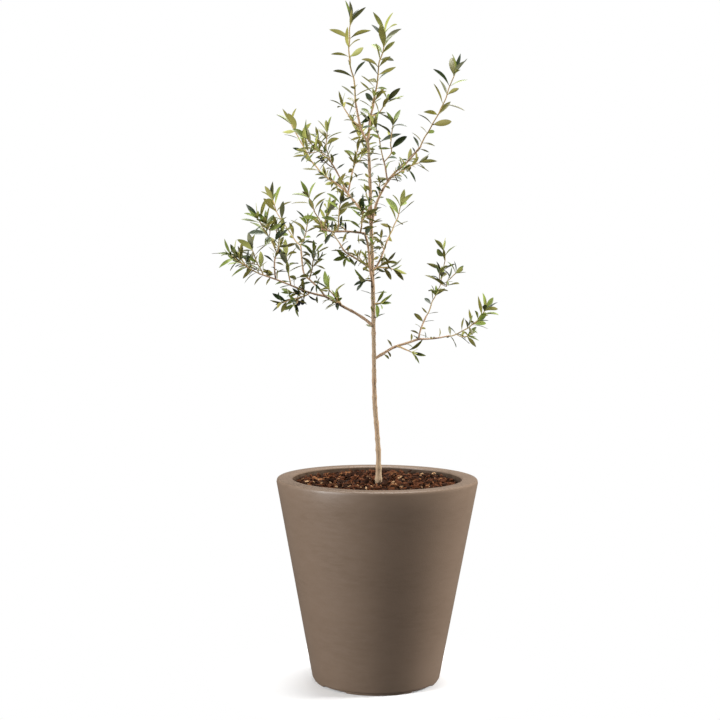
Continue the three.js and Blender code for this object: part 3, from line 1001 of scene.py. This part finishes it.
CAMERA_DISTANCE = 2.619
CAMERA_HEIGHT = 0.778
CAMERA_ASIDE = -0.036
CAMERA_PITCH = math.radians(-2.88)
CAMERA_ROLL = math.radians(0.33)
LENS = 65.2  # this and the sensor in millimetres
SENSOR = 36.0
FLOOR_FADE = (0.12, 0.34)  # how far out from the trunk its paint starts to fade, and is gone
FLOOR_HALF_WIDTH = 30.0
FLOOR_WHITES = (0.14, 1.00)  # as it lights the planter, and as it is seen
WORLD_STRENGTHS = (0.12, 1.0)  # as it lights the tree, and as it is seen
LIGHT_AIM = Vector((0.0, 0.0, 0.55))


def build_camera():
    data = bpy.data.cameras.new("camera")
    data.sensor_width = SENSOR
    data.lens = LENS
    camera = bpy.data.objects.new("camera", data)
    bpy.context.scene.collection.objects.link(camera)
    place = Matrix.Translation((CAMERA_ASIDE, -CAMERA_DISTANCE, CAMERA_HEIGHT))
    turn = Matrix.Rotation(math.pi / 2 + CAMERA_PITCH, 4, "X") @ Matrix.Rotation(CAMERA_ROLL, 4, "Z")
    camera.matrix_world = place @ turn
    bpy.context.scene.camera = camera


def add_softbox(name, azimuth, height, away, size, power, glossy=True):
    """A light panel that faces the tree. Azimuth 0 is the front, 90 the right."""
    data = bpy.data.lights.new(name, "AREA")
    data.shape = "RECTANGLE"
    data.size, data.size_y = size
    data.energy = power
    light = bpy.data.objects.new(name, data)
    light.visible_glossy = glossy
    bpy.context.scene.collection.objects.link(light)
    turn = math.radians(azimuth)
    spot = Vector((away * math.sin(turn), -away * math.cos(turn), height))
    aim = LIGHT_AIM - spot
    light.matrix_world = Matrix.Translation(spot) @ aim.to_track_quat("-Z", "Y").to_matrix().to_4x4()


def floor_paint():
    """White paint that fades into the white studio away from the planter."""
    paint = bpy.data.materials.new("floor")
    paint.use_nodes = True
    nodes, links = paint.node_tree.nodes, paint.node_tree.links
    shader = nodes["Principled BSDF"]
    shader.inputs["Roughness"].default_value = 0.9
    ray = nodes.new("ShaderNodeLightPath")
    white = nodes.new("ShaderNodeMapRange")
    white.inputs["To Min"].default_value = FLOOR_WHITES[0]
    white.inputs["To Max"].default_value = FLOOR_WHITES[1]
    links.new(ray.outputs["Is Camera Ray"], white.inputs["Value"])
    links.new(white.outputs[0], shader.inputs["Base Color"])
    place = nodes.new("ShaderNodeTexCoord")
    away = nodes.new("ShaderNodeVectorMath")
    away.operation = "LENGTH"
    fade = nodes.new("ShaderNodeMapRange")
    fade.interpolation_type = "SMOOTHSTEP"
    fade.inputs["From Min"].default_value = FLOOR_FADE[0]
    fade.inputs["From Max"].default_value = FLOOR_FADE[1]
    fade.inputs["To Min"].default_value = 1.0
    fade.inputs["To Max"].default_value = 0.0
    links.new(place.outputs["Object"], away.inputs[0])
    links.new(away.outputs["Value"], fade.inputs["Value"])
    links.new(fade.outputs[0], shader.inputs["Alpha"])
    return paint


def build_floor():
    bm = bmesh.new()
    bmesh.ops.create_grid(bm, x_segments=1, y_segments=1, size=FLOOR_HALF_WIDTH)
    floor = bpy.data.objects.new("floor", mesh_of("floor", bm))
    bpy.context.scene.collection.objects.link(floor)
    floor.data.materials.append(floor_paint())


def build_studio():
    """White seen straight on, a dim fill everywhere else, and three softboxes."""
    world = bpy.data.worlds.new("studio")
    bpy.context.scene.world = world
    world.use_nodes = True
    nodes, links = world.node_tree.nodes, world.node_tree.links
    ray = nodes.new("ShaderNodeLightPath")
    mix = nodes.new("ShaderNodeMixShader")
    links.new(ray.outputs["Is Camera Ray"], mix.inputs[0])
    backgrounds = (nodes["Background"], nodes.new("ShaderNodeBackground"))
    for background, strength, socket in zip(backgrounds, WORLD_STRENGTHS, mix.inputs[1:]):
        background.inputs["Color"].default_value = (1.0, 1.0, 1.0, 1.0)
        background.inputs["Strength"].default_value = strength
        links.new(background.outputs[0], socket)
    links.new(mix.outputs[0], nodes["World Output"].inputs["Surface"])

    add_softbox("softbox_left", -57, 1.3, 3.0, (0.9, 2.0), 128)
    add_softbox("softbox_right", 92, 1.2, 2.6, (0.9, 2.0), 146, glossy=False)
    add_softbox("softbox_top", 180, 3.1, 0.5, (1.6, 1.6), 112)
    bpy.context.scene.view_settings.view_transform = "Standard"


build_camera()
build_floor()
build_studio()
build_planter()
build_mulch()
limb_lines = build_limbs()
build_crown(limb_lines)
